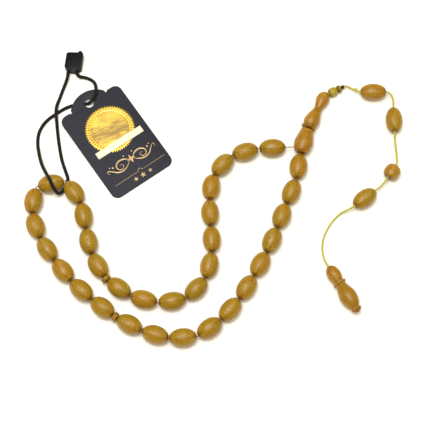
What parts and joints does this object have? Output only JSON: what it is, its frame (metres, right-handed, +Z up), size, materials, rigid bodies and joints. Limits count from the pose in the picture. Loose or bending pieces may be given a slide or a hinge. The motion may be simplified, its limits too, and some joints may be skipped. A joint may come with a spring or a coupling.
{
  "type": "string of prayer beads",
  "caption": "Closed string of oval amber prayer beads with a turned leader, a threaded tassel of beads ending in a pendant, and a card hang tag on a locked string loop.",
  "frame": {"origin": "on the table, under the middle of the object as it lies", "axes": "+Z up from the table; +X along the longer extent, from the hang tag towards the tassel; +Y towards the tag lock, away from the tip of the loop of beads"},
  "size_m": [0.1701, 0.1401, 0.0094],
  "materials": {
    "bead_amber": "polished amber resin, clouded",
    "leader_amber": "polished amber resin, orange and mottled",
    "button_amber": "polished pale resin",
    "washer_brown": "satin",
    "loop_cord": "twisted cord",
    "thread_knot": "tight knot",
    "tassel_thread": "twisted two-ply thread",
    "tag_card": "matt coated card",
    "tag_foil": "gold foil print",
    "tag_label": "blank paper strip",
    "tag_string": "twisted black string",
    "tag_lock": "moulded, satin"
  },
  "bodies": {
    "leader": {"leader_base": "leader_amber", "cord_leader": "loop_cord"},
    "outer_arm": {"cord_outer": "loop_cord"},
    "inner_arm": {"cord_inner": "loop_cord"},
    "loop_tip": {"cord_tip": "loop_cord", "tag_string": "tag_string", "lock_body": "tag_lock", "lock_plug": "tag_lock"},
    "bead_01": {"bead_01": "bead_amber"},
    "bead_02": {"bead_02": "bead_amber"},
    "bead_03": {"bead_03": "bead_amber"},
    "bead_04": {"bead_04": "bead_amber"},
    "bead_05": {"bead_05": "bead_amber"},
    "bead_06": {"bead_06": "bead_amber"},
    "bead_07": {"bead_07": "bead_amber"},
    "bead_08": {"bead_08": "bead_amber"},
    "bead_09": {"bead_09": "bead_amber"},
    "bead_10": {"bead_10": "bead_amber"},
    "bead_11": {"bead_11": "bead_amber"},
    "bead_12": {"bead_12": "bead_amber"},
    "bead_13": {"bead_13": "bead_amber"},
    "bead_14": {"bead_14": "bead_amber"},
    "bead_15": {"bead_15": "bead_amber"},
    "bead_16": {"bead_16": "bead_amber"},
    "bead_17": {"bead_17": "bead_amber"},
    "bead_18": {"bead_18": "bead_amber"},
    "bead_19": {"bead_19": "bead_amber"},
    "bead_20": {"bead_20": "bead_amber"},
    "bead_21": {"bead_21": "bead_amber"},
    "bead_22": {"bead_22": "bead_amber"},
    "bead_23": {"bead_23": "bead_amber"},
    "bead_24": {"bead_24": "bead_amber"},
    "bead_25": {"bead_25": "bead_amber"},
    "bead_26": {"bead_26": "bead_amber"},
    "bead_27": {"bead_27": "bead_amber"},
    "bead_28": {"bead_28": "bead_amber"},
    "bead_29": {"bead_29": "bead_amber"},
    "bead_30": {"bead_30": "bead_amber"},
    "bead_31": {"bead_31": "bead_amber"},
    "bead_32": {"bead_32": "bead_amber"},
    "bead_33": {"bead_33": "bead_amber"},
    "disc_1": {"disc_1": "bead_amber"},
    "disc_2": {"disc_2": "bead_amber"},
    "collar": {"leader_collar": "leader_amber"},
    "stem": {"leader_stem": "leader_amber"},
    "upper_tassel": {"thread_1": "tassel_thread", "thread_knot": "thread_knot"},
    "button": {"button": "button_amber"},
    "washer": {"washer": "washer_brown"},
    "tassel_bead_1": {"tassel_bead_1": "bead_amber"},
    "middle_tassel": {"thread_2": "tassel_thread"},
    "tassel_bead_2": {"tassel_bead_2": "bead_amber"},
    "tassel_barrel": {"tassel_barrel": "bead_amber"},
    "lower_tassel": {"thread_3": "tassel_thread"},
    "tassel_bead_3": {"tassel_bead_3": "bead_amber"},
    "pendant": {"pendant": "leader_amber"},
    "tag": {"tag_card": "tag_card", "tag_seal": "tag_foil", "tag_label": "tag_label"}
  },
  "joints": [
    {"name": "outer_sway", "type": "hinge", "parent": "leader", "child": "outer_arm", "pos_m": [0.03664, 0.00596, 0.004], "axis": [0, 0, 1], "range_deg": [-14, 10]},
    {"name": "inner_sway", "type": "hinge", "parent": "leader", "child": "inner_arm", "pos_m": [0.01977, 0.02104, 0.004], "axis": [0, 0, 1], "range_deg": [-14, 10]},
    {"name": "tip_sway", "type": "hinge", "parent": "outer_arm", "child": "loop_tip", "pos_m": [-0.00742, -0.06544, 0.004], "axis": [0, 0, 1], "range_deg": [-10, 14]},
    {"name": "bead_01_spin", "type": "hinge", "parent": "leader", "child": "bead_01", "pos_m": [0.03759, 0.01219, 0.004], "axis": [-0.1503, -0.9886, 0], "continuous": true},
    {"name": "bead_02_spin", "type": "hinge", "parent": "outer_arm", "child": "bead_02", "pos_m": [0.03419, 0.00016, 0.004], "axis": [-0.3884, -0.9215, 0], "continuous": true},
    {"name": "bead_03_spin", "type": "hinge", "parent": "outer_arm", "child": "bead_03", "pos_m": [0.02967, -0.01113, 0.004], "axis": [-0.3555, -0.9347, 0], "continuous": true},
    {"name": "bead_04_spin", "type": "hinge", "parent": "outer_arm", "child": "bead_04", "pos_m": [0.02513, -0.02241, 0.004], "axis": [-0.3911, -0.9204, 0], "continuous": true},
    {"name": "bead_05_spin", "type": "hinge", "parent": "outer_arm", "child": "bead_05", "pos_m": [0.01987, -0.03336, 0.004], "axis": [-0.4738, -0.8806, 0], "continuous": true},
    {"name": "bead_06_spin", "type": "hinge", "parent": "outer_arm", "child": "bead_06", "pos_m": [0.0138, -0.04389, 0.004], "axis": [-0.5242, -0.8516, 0], "continuous": true},
    {"name": "bead_07_spin", "type": "hinge", "parent": "outer_arm", "child": "bead_07", "pos_m": [0.00664, -0.05367, 0.004], "axis": [-0.6536, -0.7568, 0], "continuous": true},
    {"name": "bead_08_spin", "type": "hinge", "parent": "outer_arm", "child": "bead_08", "pos_m": [-0.00229, -0.06179, 0.004], "axis": [-0.815, -0.5794, 0], "continuous": true},
    {"name": "bead_09_spin", "type": "hinge", "parent": "loop_tip", "child": "bead_09", "pos_m": [-0.0137, -0.06596, 0.004], "axis": [-0.9966, -0.0823, 0], "continuous": true},
    {"name": "bead_10_spin", "type": "hinge", "parent": "loop_tip", "child": "bead_10", "pos_m": [-0.02559, -0.06474, 0.004], "axis": [-0.9591, 0.2829, 0], "continuous": true},
    {"name": "bead_11_spin", "type": "hinge", "parent": "loop_tip", "child": "bead_11", "pos_m": [-0.0368, -0.06019, 0.004], "axis": [-0.8848, 0.4659, 0], "continuous": true},
    {"name": "bead_12_spin", "type": "hinge", "parent": "loop_tip", "child": "bead_12", "pos_m": [-0.04861, -0.05274, 0.004], "axis": [-0.8012, 0.5984, 0], "continuous": true},
    {"name": "bead_13_spin", "type": "hinge", "parent": "loop_tip", "child": "bead_13", "pos_m": [-0.05798, -0.04502, 0.004], "axis": [-0.7415, 0.671, 0], "continuous": true},
    {"name": "bead_14_spin", "type": "hinge", "parent": "loop_tip", "child": "bead_14", "pos_m": [-0.06637, -0.03626, 0.004], "axis": [-0.6373, 0.7706, 0], "continuous": true},
    {"name": "bead_15_spin", "type": "hinge", "parent": "loop_tip", "child": "bead_15", "pos_m": [-0.07362, -0.02652, 0.004], "axis": [-0.5559, 0.8312, 0], "continuous": true},
    {"name": "bead_16_spin", "type": "hinge", "parent": "loop_tip", "child": "bead_16", "pos_m": [-0.07922, -0.0158, 0.004], "axis": [-0.3653, 0.9309, 0], "continuous": true},
    {"name": "bead_17_spin", "type": "hinge", "parent": "loop_tip", "child": "bead_17", "pos_m": [-0.08068, -0.00411, 0.004], "axis": [0.125, 0.9922, 0], "continuous": true},
    {"name": "bead_18_spin", "type": "hinge", "parent": "loop_tip", "child": "bead_18", "pos_m": [-0.0732, 0.00412, 0.004], "axis": [0.9758, 0.2188, 0], "continuous": true},
    {"name": "bead_19_spin", "type": "hinge", "parent": "loop_tip", "child": "bead_19", "pos_m": [-0.06269, -0.00006, 0.004], "axis": [0.5581, -0.8298, 0], "continuous": true},
    {"name": "bead_20_spin", "type": "hinge", "parent": "loop_tip", "child": "bead_20", "pos_m": [-0.05814, -0.01108, 0.004], "axis": [0.1902, -0.9817, 0], "continuous": true},
    {"name": "bead_21_spin", "type": "hinge", "parent": "loop_tip", "child": "bead_21", "pos_m": [-0.05562, -0.02297, 0.004], "axis": [0.2254, -0.9743, 0], "continuous": true},
    {"name": "bead_22_spin", "type": "hinge", "parent": "loop_tip", "child": "bead_22", "pos_m": [-0.05105, -0.03407, 0.004], "axis": [0.5252, -0.851, 0], "continuous": true},
    {"name": "bead_23_spin", "type": "hinge", "parent": "loop_tip", "child": "bead_23", "pos_m": [-0.04168, -0.04409, 0.004], "axis": [0.814, -0.5808, 0], "continuous": true},
    {"name": "bead_24_spin", "type": "hinge", "parent": "loop_tip", "child": "bead_24", "pos_m": [-0.03084, -0.04915, 0.004], "axis": [0.9678, -0.2517, 0], "continuous": true},
    {"name": "bead_25_spin", "type": "hinge", "parent": "inner_arm", "child": "bead_25", "pos_m": [-0.01851, -0.04984, 0.004], "axis": [0.9898, 0.1426, 0], "continuous": true},
    {"name": "bead_26_spin", "type": "hinge", "parent": "inner_arm", "child": "bead_26", "pos_m": [-0.00807, -0.04444, 0.004], "axis": [0.6883, 0.7254, 0], "continuous": true},
    {"name": "bead_27_spin", "type": "hinge", "parent": "inner_arm", "child": "bead_27", "pos_m": [-0.00239, -0.03387, 0.004], "axis": [0.2258, 0.9742, 0], "continuous": true},
    {"name": "bead_28_spin", "type": "hinge", "parent": "inner_arm", "child": "bead_28", "pos_m": [-0.00135, -0.02187, 0.004], "axis": [-0.0551, 0.9985, 0], "continuous": true},
    {"name": "bead_29_spin", "type": "hinge", "parent": "inner_arm", "child": "bead_29", "pos_m": [-0.00209, -0.00974, 0.004], "axis": [-0.0665, 0.9978, 0], "continuous": true},
    {"name": "bead_30_spin", "type": "hinge", "parent": "inner_arm", "child": "bead_30", "pos_m": [-0.00163, 0.00235, 0.004], "axis": [0.1424, 0.9898, 0], "continuous": true},
    {"name": "bead_31_spin", "type": "hinge", "parent": "inner_arm", "child": "bead_31", "pos_m": [0.00349, 0.01306, 0.004], "axis": [0.6804, 0.7328, 0], "continuous": true},
    {"name": "bead_32_spin", "type": "hinge", "parent": "inner_arm", "child": "bead_32", "pos_m": [0.01371, 0.01932, 0.004], "axis": [0.9621, 0.2727, 0], "continuous": true},
    {"name": "bead_33_slide", "type": "slide", "parent": "leader", "child": "bead_33", "axis": [0.9993, 0.0369, 0], "range_m": [0, 0.0028]},
    {"name": "disc_1_spin", "type": "hinge", "parent": "loop_tip", "child": "disc_1", "pos_m": [-0.043, -0.05693, 0.004], "axis": [-0.8456, 0.5338, 0], "continuous": true},
    {"name": "disc_2_spin", "type": "hinge", "parent": "loop_tip", "child": "disc_2", "pos_m": [-0.04737, -0.04002, 0.004], "axis": [0.6831, -0.7303, 0], "continuous": true},
    {"name": "collar_sway", "type": "hinge", "parent": "leader", "child": "collar", "pos_m": [0.04233, 0.03071, 0.00387], "axis": [0, 0, 1], "range_deg": [-4, 8]},
    {"name": "stem_spin", "type": "hinge", "parent": "collar", "child": "stem", "pos_m": [0.04283, 0.03175, 0.00382], "axis": [0.4379, 0.8978, -0.0471], "continuous": true},
    {"name": "upper_tassel_sway", "type": "hinge", "parent": "collar", "child": "upper_tassel", "pos_m": [0.05097, 0.04845, 0.00294], "axis": [0, 0, 1], "range_deg": [-6, 12]},
    {"name": "button_spin", "type": "hinge", "parent": "upper_tassel", "child": "button", "pos_m": [0.0544, 0.04945, 0.0022], "axis": [0.8746, 0.4848, 0], "continuous": true},
    {"name": "washer_spin", "type": "hinge", "parent": "upper_tassel", "child": "washer", "pos_m": [0.05724, 0.05103, 0.0022], "axis": [0.8746, 0.4848, 0], "continuous": true},
    {"name": "tassel_bead_1_spin", "type": "hinge", "parent": "upper_tassel", "child": "tassel_bead_1", "pos_m": [0.0727, 0.0488, 0.0038], "axis": [1, 0, 0], "continuous": true},
    {"name": "middle_tassel_sway", "type": "hinge", "parent": "upper_tassel", "child": "middle_tassel", "pos_m": [0.0816, 0.0415, 0.00377], "axis": [0, 0, 1], "range_deg": [-5, 20]},
    {"name": "tassel_bead_2_slide", "type": "slide", "parent": "middle_tassel", "child": "tassel_bead_2", "axis": [0, -1, 0], "range_m": [0, 0.002]},
    {"name": "tassel_barrel_spin", "type": "hinge", "parent": "middle_tassel", "child": "tassel_barrel", "pos_m": [0.0796, 0.0098, 0.00365], "axis": [-0.5878, -0.809, 0], "continuous": true},
    {"name": "lower_tassel_sway", "type": "hinge", "parent": "middle_tassel", "child": "lower_tassel", "pos_m": [0.07207, 0.00117, 0.00377], "axis": [0, 0, 1], "range_deg": [-10, 20]},
    {"name": "tassel_bead_3_slide", "type": "slide", "parent": "lower_tassel", "child": "tassel_bead_3", "axis": [-0.7986, -0.6018, 0], "range_m": [0, 0.0012]},
    {"name": "pendant_spin", "type": "hinge", "parent": "lower_tassel", "child": "pendant", "pos_m": [0.0501, -0.0343, 0.0029], "axis": [0.499, -0.8642, 0.0645], "continuous": true},
    {"name": "tag_swing", "type": "hinge", "parent": "loop_tip", "child": "tag", "pos_m": [-0.0576, 0.044, 0.00157], "axis": [0.019, -0.0272, 0.9995], "range_deg": [-8, 12]}
  ],
  "couplings": [
    {"joint": "inner_sway", "follows": "outer_sway", "ratio": 1},
    {"joint": "tip_sway", "follows": "outer_sway", "ratio": -1}
  ]
}
